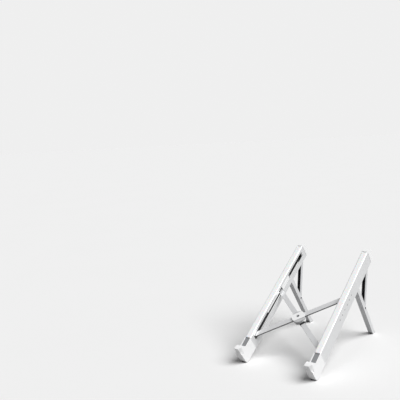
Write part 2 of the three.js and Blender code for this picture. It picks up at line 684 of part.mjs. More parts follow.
addSide('left', true, BAR_A_TOP, barBTop);
addSide('right', false, barBTop, BAR_A_TOP);
addOnBar(Math.PI / 2 - barAngle, [
  ['bar_upper', barSolid(BAR_A_TOP), 'bar_metal'],
  ['hub_top', hubTopSolid(), 'plastic'],
  ['hub_washer', hubWasherSolid(), 'plastic'],
  ['hub_screw', hubScrewSolid(), 'steel'],
  ['hub_nut', hubNutSolid(), 'steel'],
]);
addOnBar(barAngle - Math.PI / 2, [
  ['bar_lower', barSolid(barBTop), 'bar_metal'],
  ['hub_bottom', hubBottomSolid(), 'plastic'],
  ['stop_band', stopBandSolid(), 'black_rubber'],
]);

// The origin is on the ground under the middle of the stand.
const laptopStand = new THREE.Group();
laptopStand.add(stand);
laptopStand.updateMatrixWorld(true);
const bounds = new THREE.Box3().setFromObject(laptopStand, true);
stand.position.y = -(bounds.min.y + bounds.max.y) / 2;
stand.position.z = -bounds.min.z;

export default laptopStand;
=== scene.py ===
"""The finished look of a folding laptop stand.

Two slotted rails with hooked nose caps are joined by a folding cross, and each rail is propped
by a hinged leg and strut. Lengths are in metres. Many pieces are drawn in the rails' own frame:
x across the stand, u up along a rail from its nose end, n square to the rail's top face.
"""
import json
import math

import bmesh
import bpy
from mathutils import Matrix, Vector


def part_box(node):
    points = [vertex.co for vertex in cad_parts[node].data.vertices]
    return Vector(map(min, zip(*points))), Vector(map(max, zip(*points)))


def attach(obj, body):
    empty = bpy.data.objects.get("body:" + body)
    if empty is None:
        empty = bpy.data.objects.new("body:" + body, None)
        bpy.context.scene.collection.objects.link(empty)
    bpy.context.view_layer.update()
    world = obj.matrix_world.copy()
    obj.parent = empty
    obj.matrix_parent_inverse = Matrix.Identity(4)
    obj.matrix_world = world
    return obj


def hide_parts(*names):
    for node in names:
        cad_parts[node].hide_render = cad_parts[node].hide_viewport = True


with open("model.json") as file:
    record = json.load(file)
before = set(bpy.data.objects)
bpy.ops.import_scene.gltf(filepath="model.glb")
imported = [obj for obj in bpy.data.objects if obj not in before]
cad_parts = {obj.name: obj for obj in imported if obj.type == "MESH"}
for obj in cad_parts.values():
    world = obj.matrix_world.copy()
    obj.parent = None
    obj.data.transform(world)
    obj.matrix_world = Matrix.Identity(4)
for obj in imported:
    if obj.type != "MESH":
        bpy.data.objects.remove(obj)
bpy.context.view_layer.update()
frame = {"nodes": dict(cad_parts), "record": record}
record = frame["record"]
MM = 0.001

# ---- Where things are ----------------------------------------------------------------------

joints = {joint["name"]: joint for joint in record["behaviour"]["joints"]}
body_of_node = {
    node: body for body, nodes in record["behaviour"]["bodies"].items() for node in nodes
}

rail_normal = Vector(joints["width_fold"]["axis"])
slope = math.atan2(-rail_normal.y, rail_normal.z)
rail_low, rail_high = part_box("left_rail")
rise = rail_high.z - rail_low.z
run = rail_high.y - rail_low.y
# A sloping rail's box takes its rise and its run from the rail's length and height together.
rail_height = (rise * math.cos(slope) - run * math.sin(slope)) / math.cos(2 * slope)
rail_start = Vector((0, rail_low.y, rail_low.z + rail_height * math.cos(slope)))
to_stand = Matrix.Translation(rail_start) @ Matrix.Rotation(slope, 4, "X")
to_rail = to_stand.inverted()


def rail_box(node):
    """Lowest and highest corner of a CAD node in the rails' frame."""
    mesh = frame["nodes"][node].data
    points = [to_rail @ vertex.co for vertex in mesh.vertices]
    low = Vector([min(p[i] for p in points) for i in range(3)])
    high = Vector([max(p[i] for p in points) for i in range(3)])
    return low, high


# ---- Finishes ------------------------------------------------------------------------------


class Graph:
    """Short ways to lay out a node tree."""

    def __init__(self, tree):
        self.tree = tree

    def node(self, kind, **settings):
        made = self.tree.nodes.new(kind)
        for name, value in settings.items():
            setattr(made, name, value)
        return made

    def wire(self, source, target):
        self.tree.links.new(source, target)

    def put(self, value, socket):
        if isinstance(value, bpy.types.NodeSocket):
            self.wire(value, socket)
        else:
            socket.default_value = value

    def maths(self, operation, a, b=0.0, clamp=False):
        made = self.node("ShaderNodeMath", operation=operation, use_clamp=clamp)
        self.put(a, made.inputs[0])
        self.put(b, made.inputs[1])
        return made.outputs[0]

    def noise(self, vector, scale, detail=2.0, roughness=0.5):
        made = self.node("ShaderNodeTexNoise")
        self.put(vector, made.inputs["Vector"])
        self.put(scale, made.inputs["Scale"])
        self.put(detail, made.inputs["Detail"])
        self.put(roughness, made.inputs["Roughness"])
        return made.outputs["Fac"]

    def between(self, value, low, high, out_low=0.0, out_high=1.0):
        made = self.node("ShaderNodeMapRange")
        for given, place in zip((value, low, high, out_low, out_high), range(5)):
            self.put(given, made.inputs[place])
        return made.outputs[0]

    def mixed(self, factor, a, b):
        made = self.node("ShaderNodeMix", data_type="RGBA")
        self.put(factor, made.inputs[0])
        self.put(a, made.inputs[6])
        self.put(b, made.inputs[7])
        return made.outputs[2]


def new_group(name, inputs, outputs):
    """A shader group with named sockets, and the nodes at its two ends."""
    tree = bpy.data.node_groups.new(name, "ShaderNodeTree")
    for label, kind, value in inputs:
        socket = tree.interface.new_socket(label, in_out="INPUT", socket_type=kind)
        if value is not None:
            socket.default_value = value
    for label, kind in outputs:
        tree.interface.new_socket(label, in_out="OUTPUT", socket_type=kind)
    graph = Graph(tree)
    return graph, graph.node("NodeGroupInput").outputs, graph.node("NodeGroupOutput").inputs


FLOAT, COLOUR, VECTOR = "NodeSocketFloat", "NodeSocketColor", "NodeSocketVector"


def skin_group():
    """Fine grain of a blasted, moulded or rubber skin, with a slow drift of tone over it."""
    graph, given, made = new_group(
        "skin_grain",
        [("Vector", VECTOR, None), ("Colour", COLOUR, (0.8, 0.8, 0.8, 1)),
         ("Drift", FLOAT, 0.04), ("Drift Scale", FLOAT, 30.0), ("Grain Scale", FLOAT, 2500.0),
         ("Roughness", FLOAT, 0.5), ("Roughness Spread", FLOAT, 0.08)],
        [("Colour", COLOUR), ("Roughness", FLOAT), ("Height", FLOAT)])
    drift = graph.noise(given["Vector"], given["Drift Scale"], 3.0, 0.55)
    grain = graph.noise(given["Vector"], given["Grain Scale"], 3.0, 0.6)
    shade = graph.maths("SUBTRACT", 1.0, graph.maths("MULTIPLY", given["Drift"], drift))
    speck = graph.maths("MULTIPLY", graph.maths("SUBTRACT", grain, 0.5), given["Drift"])
    tone = graph.maths("ADD", shade, speck)
    scaled = graph.node("ShaderNodeVectorMath", operation="SCALE")
    graph.put(given["Colour"], scaled.inputs[0])
    graph.put(tone, scaled.inputs["Scale"])
    graph.put(scaled.outputs[0], made["Colour"])
    swing = graph.maths("MULTIPLY", graph.maths("SUBTRACT", drift, 0.5),
                        graph.maths("MULTIPLY", given["Roughness Spread"], 2.0))
    fine = graph.maths("MULTIPLY", graph.maths("SUBTRACT", grain, 0.5), given["Roughness Spread"])
    total = graph.maths("ADD", given["Roughness"], graph.maths("ADD", swing, fine), clamp=True)
    graph.put(total, made["Roughness"])
    graph.put(grain, made["Height"])
    return graph.tree


def die_line_group():
    """Faint straight lines that a die leaves along an extrusion or a rolled strip."""
    graph, given, made = new_group(
        "die_lines",
        [("Vector", VECTOR, None), ("Line Scale", FLOAT, 900.0), ("Stretch", FLOAT, 0.006)],
        [("Height", FLOAT)])
    stretched = graph.node("ShaderNodeVectorMath", operation="MULTIPLY")
    along = graph.node("ShaderNodeCombineXYZ")
    graph.put(1.0, along.inputs[0])
    graph.put(given["Stretch"], along.inputs[1])
    graph.put(1.0, along.inputs[2])
    graph.put(given["Vector"], stretched.inputs[0])
    graph.put(along.outputs[0], stretched.inputs[1])
    lines = graph.noise(stretched.outputs[0], given["Line Scale"], 2.0, 0.6)
    graph.put(lines, made["Height"])
    return graph.tree


def rubbed_edge_group():
    """Where hands and the desk have polished an outer edge."""
    graph, given, made = new_group(
        "rubbed_edges",
        [("Vector", VECTOR, None), ("Amount", FLOAT, 0.5), ("Patch Scale", FLOAT, 120.0)],
        [("Mask", FLOAT)])
    shape = graph.node("ShaderNodeNewGeometry")
    edge = graph.between(shape.outputs["Pointiness"], 0.53, 0.62)
    patches = graph.between(graph.noise(given["Vector"], given["Patch Scale"], 4.0, 0.6),
                            0.42, 0.66)
    mask = graph.maths("MULTIPLY", graph.maths("MULTIPLY", edge, patches), given["Amount"])
    graph.put(mask, made["Mask"])
    return graph.tree


def handling_group():
    """Soft smudges and a little settled dust on the faces that look up."""
    graph, given, made = new_group(
        "handling_marks",
        [("Vector", VECTOR, None), ("Smudge Scale", FLOAT, 22.0), ("Dust", FLOAT, 0.1)],
        [("Smudge", FLOAT), ("Dust", FLOAT)])
    smudge = graph.between(graph.noise(given["Vector"], given["Smudge Scale"], 3.0, 0.62),
                           0.45, 0.75)
    graph.put(smudge, made["Smudge"])
    shape = graph.node("ShaderNodeNewGeometry")
    upward = graph.node("ShaderNodeSeparateXYZ")
    graph.put(shape.outputs["Normal"], upward.inputs[0])
    level = graph.between(upward.outputs[2], 0.3, 0.95)
    flecks = graph.between(graph.noise(given["Vector"], 1400.0, 2.0, 0.7), 0.62, 0.74)
    dust = graph.maths("MULTIPLY", graph.maths("MULTIPLY", level, flecks), given["Dust"])
    graph.put(dust, made["Dust"])
    return graph.tree


def turned_ring_group():
    """Rings that a lathe leaves round a centre line."""
    graph, given, made = new_group(
        "turned_rings",
        [("Vector", VECTOR, None), ("Ring Scale", FLOAT, 3.0)], [("Height", FLOAT)])
    rings = graph.node("ShaderNodeTexWave", wave_type="RINGS", rings_direction="SPHERICAL")
    graph.put(given["Vector"], rings.inputs["Vector"])
    graph.put(given["Ring Scale"], rings.inputs["Scale"])
    graph.put(0.6, rings.inputs["Distortion"])
    graph.put(rings.outputs["Fac"], made["Height"])
    return graph.tree


groups = {
    "skin": skin_group(),
    "lines": die_line_group(),
    "edges": rubbed_edge_group(),
    "marks": handling_group(),
    "rings": turned_ring_group(),
}


def placed_group(graph, which, **values):
    made = graph.node("ShaderNodeGroup")
    made.node_tree = groups[which]
    for label, value in values.items():
        graph.put(value, made.inputs[label.replace("_", " ")])
    return made.outputs


DUST_COLOUR = (0.62, 0.61, 0.6, 1)
EDGE_POLISH = 0.12             # how much smoother a rubbed edge is
LIGHT_REACH = 2.0 * MM         # how deep light gets into a silicone
GRAIN_HEIGHT = 0.1 * MM


def finish(name, colour, metal, rough, spread=0.06, drift=0.04, drift_scale=30.0, grain=2500.0,
           depth=0.1, lines=0.0, line_turn=0.0, rings=0.0, edge=0.3, edge_colour=None, dust=0.08,
           soft=0.0):
    """One material of the stand; its numbers describe a real finish, except that some colours are
    darkened to paint shade.
    """
    material = bpy.data.materials.new(name)
    material.use_nodes = True
    material.node_tree.nodes.clear()
    graph = Graph(material.node_tree)
    shader = graph.node("ShaderNodeBsdfPrincipled")
    end = graph.node("ShaderNodeOutputMaterial")
    graph.wire(shader.outputs[0], end.inputs[0])
    turned = graph.node("ShaderNodeMapping", vector_type="TEXTURE")
    turned.inputs["Rotation"].default_value = (line_turn, 0, 0)
    graph.wire(graph.node("ShaderNodeTexCoord").outputs["Object"], turned.inputs[0])
    where = turned.outputs[0]

    skin = placed_group(graph, "skin", Vector=where, Colour=(*colour, 1), Drift=drift,
                        Drift_Scale=drift_scale, Grain_Scale=grain, Roughness=rough,
                        Roughness_Spread=spread)
    edges = placed_group(graph, "edges", Vector=where, Amount=edge)
    marks = placed_group(graph, "marks", Vector=where, Dust=dust)
    bright = edge_colour or tuple(min(1.0, value * 1.12) for value in colour)
    worn = graph.mixed(edges["Mask"], skin["Colour"], (*bright, 1))
    dusty = graph.mixed(marks["Dust"], worn, DUST_COLOUR)
    graph.put(dusty, shader.inputs["Base Color"])
    smudged = graph.maths("MULTIPLY", marks["Smudge"], spread)
    rubbed = graph.maths("MULTIPLY", edges["Mask"], -EDGE_POLISH)
    total = graph.maths("ADD", skin["Roughness"], graph.maths("ADD", smudged, rubbed), clamp=True)
    graph.put(total, shader.inputs["Roughness"])
    shader.inputs["Metallic"].default_value = metal
    shader.inputs["Subsurface Weight"].default_value = soft
    shader.inputs["Subsurface Scale"].default_value = LIGHT_REACH

    height = skin["Height"]
    if lines:
        drawn = placed_group(graph, "lines", Vector=where)
        height = graph.maths("ADD", height, graph.maths("MULTIPLY", drawn["Height"], lines))
    if rings:
        lathe = placed_group(graph, "rings", Vector=where, Ring_Scale=400.0)
        height = graph.maths("ADD", height, graph.maths("MULTIPLY", lathe["Height"], rings))
    bump = graph.node("ShaderNodeBump")
    bump.inputs["Strength"].default_value = depth
    bump.inputs["Distance"].default_value = GRAIN_HEIGHT
    graph.put(height, bump.inputs["Height"])
    graph.wire(bump.outputs[0], shader.inputs["Normal"])
    return material


finishes = {
    "rail_metal": finish("blasted_silver_anodising", (0.86, 0.865, 0.872), 0.5, 0.46,
                         grain=3200.0, depth=0.16, lines=1.6, line_turn=slope, edge=0.5,
                         edge_colour=(0.93, 0.93, 0.94)),
    "bar_metal": finish("satin_silver_anodising", (0.74, 0.745, 0.755), 0.35, 0.42,
                        grain=2600.0, depth=0.2, drift=0.06, edge=0.6,
                        edge_colour=(0.9, 0.9, 0.91)),
    # A darker copy of the leg's metal: painted shade on the web, which faces away from the light.
    "leg_web": finish("painted_shade_on_leg_web", (0.62, 0.625, 0.635), 0.4, 0.42, grain=2600.0,
                      depth=0.2, drift=0.06, edge=0.5, edge_colour=(0.75, 0.75, 0.76)),
    "white_plastic": finish("moulded_white_plastic", (0.89, 0.892, 0.895), 0.0, 0.44,
                            grain=1500.0, depth=0.25, drift=0.03, edge=0.15, dust=0.05),
    "white_silicone": finish("white_silicone", (0.93, 0.932, 0.935), 0.0, 0.62, grain=1100.0,
                             depth=0.3, drift=0.03, edge=0.05, dust=0.12, soft=0.12),
    "grey_silicone": finish("grey_silicone", (0.27, 0.275, 0.285), 0.0, 0.66, grain=1100.0,
                            depth=0.3, drift=0.1, edge=0.2, dust=0.2, soft=0.05),
    "dark_rubber": finish("dark_grey_rubber", (0.21, 0.212, 0.217), 0.0, 0.8, grain=900.0,
                          depth=0.5, drift=0.15, edge=0.3, dust=0.2),
    "black_rubber": finish("black_rubber", (0.012, 0.012, 0.013), 0.0, 0.6, grain=900.0,
                           depth=0.4, drift=0.2, edge=0.1, dust=0.1),
    # Near-black: painted shade in the carriage forks and at the bottoms of the height holes.
    "dark_plastic": finish("painted_shade_in_hollows", (0.045, 0.046, 0.048), 0.0, 0.55,
                           grain=1500.0, depth=0.25, drift=0.1, edge=0.1, dust=0.05),
    # Near-black: painted shade on the faces inside the rails, where their walls keep the light
    # out.
    "rail_inside": finish("painted_shade_inside_rail", (0.05, 0.051, 0.053), 0.2, 0.7, grain=1800.0,
                          depth=0.3, drift=0.2, lines=1.0, line_turn=slope, edge=0.0),
    # Near-black: painted shade on the faces inside the struts' channels.
    "strut_inside": finish("painted_shade_inside_strut", (0.035, 0.036, 0.038), 0.2, 0.65,
                           grain=1800.0, depth=0.3, drift=0.2, edge=0.0),
    # Dark metal: painted shade along the bars' side faces.
    "bar_edge": finish("painted_shade_on_bar_sides", (0.2, 0.202, 0.206), 0.6, 0.5, grain=2200.0,
                       depth=0.4, drift=0.15, edge=0.2),
    # Grey: painted shade on the white hub below its top.
    "hub_disc": finish("painted_shade_on_hub_shoulder", (0.56, 0.565, 0.57), 0.1, 0.5, grain=1600.0,
                       depth=0.2, drift=0.04, edge=0.2),
    "blackened_steel": finish("blackened_steel", (0.05, 0.05, 0.052), 0.8, 0.45, grain=2000.0,
                              depth=0.2, rings=0.5, drift=0.1, edge=0.3),
    "steel": finish("turned_steel", (0.42, 0.425, 0.44), 1.0, 0.3, grain=2000.0, depth=0.2,
                    rings=0.8, drift=0.1, edge=0.6, edge_colour=(0.7, 0.7, 0.71)),
}

# ---- Making pieces -------------------------------------------------------------------------


def as_object(name, mesh):
    made = bpy.data.objects.new(name, mesh)
    bpy.context.scene.collection.objects.link(made)
    return made


def settled(piece):
    """The piece with its modifiers worked into a plain mesh."""
    graph = bpy.context.evaluated_depsgraph_get()
    mesh = bpy.data.meshes.new_from_object(piece.evaluated_get(graph), depsgraph=graph)
    piece.modifiers.clear()
    old = piece.data
    piece.data = mesh
    bpy.data.meshes.remove(old)
    mesh.name = piece.name
    return piece


EASING_STEPS = 2
REAL_EDGE = math.radians(32)
SAME_POINT = 0.004 * MM
SAME_PLANE = math.radians(0.4)


def eased(piece, radius):
    """Round every real edge of a piece and shade its faces smoothly."""
    for polygon in piece.data.polygons:
        polygon.use_smooth = True
    if radius:
        bevel = piece.modifiers.new("eased_edges", "BEVEL")
        bevel.width = radius
        bevel.segments = EASING_STEPS
        bevel.limit_method = "ANGLE"
        bevel.angle_limit = REAL_EDGE
        bevel.use_clamp_overlap = True
        bevel.harden_normals = True
    shade = piece.modifiers.new("even_shading", "WEIGHTED_NORMAL")
    shade.keep_sharp = True
    return settled(piece)


def merged_copy(node):
    """A CAD node's shape with its loose triangles joined and its flat faces made whole."""
    shape = bmesh.new()
    shape.from_mesh(frame["nodes"][node].data)
    bmesh.ops.remove_doubles(shape, verts=shape.verts, dist=SAME_POINT)
    bmesh.ops.dissolve_limit(shape, angle_limit=SAME_PLANE, verts=shape.verts,
                             edges=shape.edges, use_dissolve_boundaries=False)
    return shape


def from_shape(name, shape):
    mesh = bpy.data.meshes.new(name)
    shape.to_mesh(mesh)
    shape.free()
    return as_object(name, mesh)


def dress(piece, slot, body, *nodes):
    """Give a piece its finish and the body it moves with; it stands for the named nodes."""
    piece.data.materials.clear()
    piece.data.materials.append(finishes[slot])
    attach(piece, body)
    if nodes:
        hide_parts(*nodes)
    return piece


# ---- Every CAD piece with its edges eased --------------------------------------------------

# What each node of a side becomes: its name in the finished model, edge radius in mm.
side_pieces = {
    "rail": ("rail_extrusion", 0.22),
    "rail_pad": ("grip_strip", 0.3),
    "front_cap": ("nose_cap", 0.5),
    "front_rest": ("edge_rest", 0.25),
    # The nose pad is partly a real grip pad and partly painted shade: its dark rubber sits where
    # shade falls under the nose.
    "front_foot": ("nose_pad", 0.3),
    "rear_cap": ("tail_cap", 0.6),
    "hinge_block": ("lower_pivot_block", 0.2),
    "hinge_pin": ("lower_pivot_pin", 0.2),
    "carriage": ("cross_carriage", 0.2),
    "carriage_pin": ("upper_pivot_pin", 0.2),
    "guide_strip": ("divider_strip", 0.1),
    "strut_bracket": ("strut_bracket_plate", 0.15),
    "strut_pin": ("strut_hinge_pin", 0.3),
    "strut": ("strut_channel", 0.2),
    "leg_pin": ("knee_pin", 0.3),
    "leg": ("leg_channel", 0.2),
    "leg_foot": ("sole", 0.25),
    "leg_slider": ("slider_plate", 0.15),
    "slider_rivet": ("slider_rivet_head", 0.3),
    "detent_ball": ("height_ball", 0),
}
centre_pieces = {
    "bar_upper": ("upper_cross_bar", 0.3),
    "bar_lower": ("lower_cross_bar", 0.3),
    "hub_top": ("hub_housing", 0.45),
    "hub_washer": ("hub_spacer", 0.15),
    "hub_screw": ("hub_screw_pin", 0.25),
    "hub_nut": ("hub_hex_nut", 0.2),
    "hub_bottom": ("hub_lower_cap", 0.6),
    "stop_band": ("stop_sleeve", 0.15),
}
slots = {part["node"]: part["material_slot"] for part in record["subparts"]}

pieces = {}
for side in ("left", "right"):
    for kind, (label, radius) in side_pieces.items():
        pieces[f"{side}_{kind}"] = (f"{side}_{label}", radius)
pieces.update(centre_pieces)

# How far up a rail each carriage's fork reaches; the fork is painted near-black as painted shade,
# and beyond it the carriage is a pale runner.
FORK_BEYOND_PIN = 3.2 * MM
fork_ends = {
    f"{side}_carriage": rail_box(f"{side}_carriage_pin")[1].y + FORK_BEYOND_PIN
    for side in ("left", "right")
}

made = {}
for node, (label, radius) in pieces.items():
    shape = merged_copy(node)
    if node in fork_ends:
        parting = to_stand @ Vector((0, fork_ends[node], 0))
        bmesh.ops.bisect_plane(shape, geom=shape.verts[:] + shape.edges[:] + shape.faces[:],
                               plane_co=parting, plane_no=to_stand.to_3x3() @ Vector((0, 1, 0)))
    piece = eased(from_shape(label, shape), radius * MM)
    made[node] = dress(piece, slots[node], body_of_node[node], node)

# ---- Second finishes that paint shade on some faces ----------------------------------------


def refinish(piece, which, wanted):
    """Give the faces whose middle (in the rails' frame) passes a test another finish."""
    piece.data.materials.append(finishes[which])
    turn = to_rail.to_3x3()
    for polygon in piece.data.polygons:
        if wanted(to_rail @ polygon.center, turn @ polygon.normal):
            polygon.material_index = len(piece.data.materials) - 1


INSIDE = 0.05 * MM             # how far inside its walls a face counts as hidden
RAIL_SIDE_WALL = 0.9 * MM
RAIL_TOP_WALL = 1.6 * MM
STRUT_WALL = 0.8 * MM
STRUT_HALF_HEIGHT = 3.75 * MM
HUB_CROWN = 1.9 * MM           # the hub's white top, above its shoulder, which is painted grey as shade

for side in ("left", "right"):
    low, high = rail_box(f"{side}_rail")
    centre = (low.x + high.x) / 2
    pivot = to_rail @ Vector(joints[f"{side}_leg_fold"]["pos_m"])
    knee = to_rail @ Vector(joints[f"{side}_knee"]["pos_m"])

    # Faces inside a rail's walls get the near-black finish: painted shade for the dark inside the
    # slot.
    def in_rail(middle, normal, centre=centre, high=high):
        deep = abs(middle.x - centre) < high.x - centre - RAIL_SIDE_WALL + INSIDE
        return deep and middle.z < high.z - RAIL_TOP_WALL

    refinish(made[f"{side}_rail"], "rail_inside", in_rail)

    strut_high = rail_box(f"{side}_strut")[1]
    along_strut = (knee - pivot).normalized()
    open_side = Vector((0, along_strut.z, -along_strut.y))

    # Faces inside a strut's channel get the near-black finish: painted shade for the dark inside
    # it.
    def in_strut(middle, normal, centre=centre, pivot=pivot, open_side=open_side,
                 high=strut_high):
        wall = STRUT_WALL - INSIDE
        deep = abs(middle.x - centre) < high.x - centre - wall
        return deep and (middle - pivot).dot(open_side) > wall - STRUT_HALF_HEIGHT

    refinish(made[f"{side}_strut"], "strut_inside", in_strut)
    # The carriage's fork, down in the slot, gets the near-black finish: painted shade.
    refinish(made[f"{side}_carriage"], "dark_plastic",
             lambda middle, normal, end=fork_ends[f"{side}_carriage"]: middle.y < end)
    # The leg's faces that don't face sideways take the darker copy of its metal: painted shade on
    # the web.
    refinish(made[f"{side}_leg"], "leg_web", lambda middle, normal: abs(normal.x) < 0.5)

# The bars' side faces take the dark metal: painted shade along them.
for node in ("bar_upper", "bar_lower"):
    refinish(made[node], "bar_edge", lambda middle, normal: abs(normal.z) < 0.5)
# The hub below its white top is painted grey: painted shade on its shoulder.
shoulder = rail_box("hub_top")[1].z - HUB_CROWN
refinish(made["hub_top"], "hub_disc", lambda middle, normal: middle.z < shoulder)

# ---- The pale lip that narrows each slot below its carriage --------------------------------

LIP_THICKNESS = 0.6 * MM
LIP_EDGE = 0.12 * MM
LIP_FLANGE = 0.8 * MM          # its flange, and how far the flange lies on the divider strip
LIP_BELOW_STRIP = 1.4 * MM
LIP_ON_STRIP = 2.0 * MM
LIP_BEHIND_FACE = 1.2 * MM     # from the rail's inner side
LIP_START = 0.5 * MM
LIP_CARRIAGE_GAP = 1.0 * MM
LIP_BAR_GAP = 0.4 * MM
BAR_MOUTH = 14.0 * MM          # the stretch of slot that a bar takes beside its carriage


def slot_lip(side):
    """An angle strip along the divider strip, just behind the slot; it ends at the carriage."""
    inward = 1 if side == "left" else -1
    inner = 1 if side == "left" else 0
    strip = rail_box(f"{side}_guide_strip")
    back = strip[inner].x - inward * LIP_FLANGE
    front = rail_box(f"{side}_rail")[inner].x - inward * LIP_BEHIND_FACE
    behind = front - inward * LIP_THICKNESS
    start = strip[0].y + LIP_START
    end = rail_box(f"{side}_carriage")[0].y - LIP_CARRIAGE_GAP
    foot = strip[0].z - LIP_BELOW_STRIP
    top = strip[0].z + LIP_ON_STRIP
    bar_top = rail_box("bar_lower" if side == "left" else "bar_upper")[1].z
    if bar_top > foot - LIP_BAR_GAP:
        # This rail's bar comes in at the lip's height, so the lip stops short of it.
        end -= BAR_MOUTH
    section = [(back, top), (back, top - LIP_FLANGE), (behind, top - LIP_FLANGE),
               (behind, foot), (front, foot), (front, top)]
    shape = bmesh.new()
    face = shape.faces.new([shape.verts.new((x, start, n)) for x, n in section])
    drawn = bmesh.ops.extrude_face_region(shape, geom=[face])["geom"]
    moved = [item for item in drawn if isinstance(item, bmesh.types.BMVert)]
    bmesh.ops.translate(shape, verts=moved, vec=(0, end - start, 0))
    bmesh.ops.recalc_face_normals(shape, faces=shape.faces)
    shape.transform(to_stand)
    piece = eased(from_shape(f"{side}_slot_lip", shape), LIP_EDGE)
    dress(piece, "white_plastic", body_of_node[f"{side}_rail"])


for side in ("left", "right"):
    slot_lip(side)

# ---- Details that repeat -------------------------------------------------------------------

DISC_FACETS = 40
HOLE_REACH = 2.5 * MM          # from the row's line, further than a height hole's rim
RIM_GAP = 2.4 * MM             # rim points further apart than this belong to two holes
# How deep and how thick the near-black discs inside the height holes are; the discs are painted
# shade.
HOLE_SHADE_DEPTH = 0.6 * MM
HOLE_SHADE_THICKNESS = 0.2 * MM
TREAD_PITCH = 1.6 * MM
TREAD_HEIGHT = 0.3 * MM
TREAD_EDGE = 0.08 * MM


def row_tree(name, round_shape):
    """A tree that sets copies of one small shape, a disc or a rib, in a straight row."""
    tree = bpy.data.node_groups.new(name, "GeometryNodeTree")
    sockets = {}

    for label, kind in (("Count", "NodeSocketInt"), ("Centre", VECTOR), ("Step", VECTOR),
                        ("Size", VECTOR), ("Turn", VECTOR), ("Material", "NodeSocketMaterial")):
        socket = tree.interface.new_socket(label, in_out="INPUT", socket_type=kind)
        sockets[label] = socket.identifier
    tree.interface.new_socket("Geometry", in_out="OUTPUT", socket_type="NodeSocketGeometry")
    graph = Graph(tree)
    inputs = graph.node("NodeGroupInput").outputs
    points = graph.node("GeometryNodeMeshLine", mode="OFFSET")
    graph.put(inputs["Count"], points.inputs["Count"])
    graph.put(inputs["Centre"], points.inputs["Start Location"])
    graph.put(inputs["Step"], points.inputs["Offset"])
    copies = graph.node("GeometryNodeInstanceOnPoints")
    graph.wire(points.outputs[0], copies.inputs["Points"])
    graph.put(inputs["Turn"], copies.inputs["Rotation"])
    if round_shape:
        shape = graph.node("GeometryNodeMeshCylinder")
        shape.inputs["Vertices"].default_value = DISC_FACETS
        shape.inputs["Radius"].default_value = 0.5
        shape.inputs["Depth"].default_value = 1.0
    else:
        shape = graph.node("GeometryNodeMeshCube")
    graph.wire(shape.outputs[0], copies.inputs["Instance"])
    graph.put(inputs["Size"], copies.inputs["Scale"])
    real = graph.node("GeometryNodeRealizeInstances")
    coloured = graph.node("GeometryNodeSetMaterial")
    graph.wire(copies.outputs[0], real.inputs[0])
    graph.wire(real.outputs[0], coloured.inputs["Geometry"])
    graph.put(inputs["Material"], coloured.inputs["Material"])
    graph.wire(coloured.outputs[0], graph.node("NodeGroupOutput").inputs[0])
    return tree, sockets


trees = {
    "discs": row_tree("row_of_discs", round_shape=True),
    "ribs": row_tree("row_of_ribs", round_shape=False),
}


def repeated(name, which, slot, body, edge, frame_of_row=None, **values):
    """One plain piece made of the copies that a tree lays out."""
    tree, sockets = trees[which]
    piece = as_object(name, bpy.data.meshes.new(name))
    layout = piece.modifiers.new("layout", "NODES")
    layout.node_group = tree
    for label, value in values.items():
        layout[sockets[label.replace("_", " ")]] = value
    layout[sockets["Material"]] = finishes[slot]
    piece = settled(piece)
    if frame_of_row is not None:
        piece.data.transform(frame_of_row)
    return dress(eased(piece, edge), slot, body)


def hole_row(side):
    """Middle, spacing, count and radius of the height holes in a rail's outer wall."""
    ball_low, ball_high = rail_box(f"{side}_detent_ball")
    ball = (ball_low + ball_high) / 2
    low, high = rail_box(f"{side}_rail")
    wall = low.x if side == "left" else high.x
    mesh = frame["nodes"][f"{side}_rail"].data
    rims = []
    for point in sorted((to_rail @ vertex.co for vertex in mesh.vertices), key=lambda p: p.y):
        if abs(point.x - wall) > INSIDE or abs(point.z - ball.z) > HOLE_REACH:
            continue
        if rims and point.y - rims[-1][1] < RIM_GAP:
            rims[-1][1] = point.y
        else:
            rims.append([point.y, point.y])
    radius = (rims[0][1] - rims[0][0]) / 2
    first = sum(rims[0]) / 2
    step = (sum(rims[-1]) / 2 - first) / (len(rims) - 1)
    return Vector((wall, first, ball.z)), step, len(rims), radius


def raised_sole(piece, depth):
    """Lift a rubber foot's underside by its tread's height; gives the limits of its plain part."""
    mesh = piece.data
    facing_down = [face for face in mesh.polygons if face.normal.z < -0.9]
    face = max(facing_down, key=lambda face: face.area)
    corners = [mesh.vertices[index].co.copy() for index in face.vertices]
    low = Vector([min(corner[i] for corner in corners) for i in range(3)])
    high = Vector([max(corner[i] for corner in corners) for i in range(3)])
    # A foot with a channel through it is plain only as far as the channel's end.
    channel = [corner.y for corner in corners
               if low.x + 3 * INSIDE < corner.x < high.x - 3 * INSIDE]
    high.y = min(channel, default=high.y)
    for vertex in mesh.vertices:
        if vertex.co.z < low.z + depth:
            vertex.co.z += depth
    return low, high


def tread(name, node):
    """Ribs across the underside of a rubber foot."""
    low, high = raised_sole(made[node], TREAD_HEIGHT)
    count = int((high.y - low.y - 2 * TREAD_HEIGHT) / TREAD_PITCH + 0.5)
    start = (low.y + high.y) / 2 - (count - 1) * TREAD_PITCH / 2
    width = high.x - low.x - 4 * TREAD_HEIGHT
    repeated(name, "ribs", slots[node], body_of_node[node], TREAD_EDGE, Count=count,
             Centre=((low.x + high.x) / 2, start, low.z + TREAD_HEIGHT),
             Step=(0, TREAD_PITCH, 0), Size=(width, TREAD_PITCH / 2, 2 * TREAD_HEIGHT),
             Turn=(0, 0, 0))


